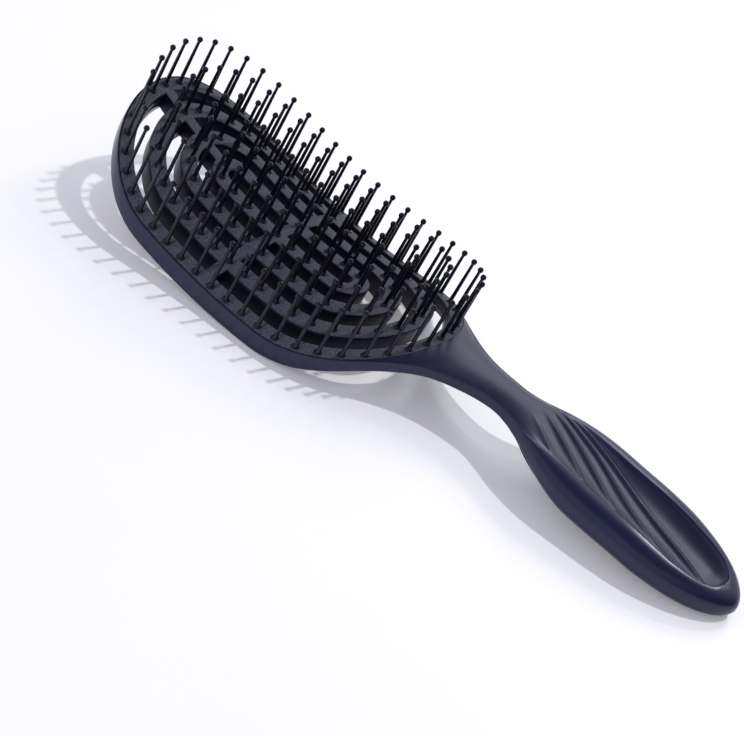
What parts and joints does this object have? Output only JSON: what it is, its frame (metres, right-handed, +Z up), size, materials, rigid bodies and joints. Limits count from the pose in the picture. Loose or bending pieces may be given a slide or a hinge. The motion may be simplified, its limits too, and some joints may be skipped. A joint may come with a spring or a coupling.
{
  "type": "detangling brush",
  "caption": "Vented hair brush with a curved oval head of concentric open rings, ball-tipped pins and a waisted handle with a fluted grip.",
  "frame": {"origin": "on the floor under the middle of the brush, which lies on its back with the pins up", "axes": "+X from the head to the handle, +Y to the side away from the camera, +Z up, away from the floor"},
  "size_m": [0.2292, 0.075, 0.0471],
  "materials": {
    "frame_plastic": "smooth satin moulding",
    "ring_plastic": "fine matte texture",
    "pin_nylon": "smooth glossy nylon"
  },
  "bodies": {
    "root": {"handle_frame": "frame_plastic", "grip_inlay": "ring_plastic", "outer_ring": "ring_plastic", "second_ring": "ring_plastic", "third_ring": "ring_plastic", "inner_ring": "ring_plastic", "outer_ring_pins": "pin_nylon", "second_ring_pins": "pin_nylon", "third_ring_pins": "pin_nylon", "inner_ring_pins": "pin_nylon"}
  },
  "joints": []
}
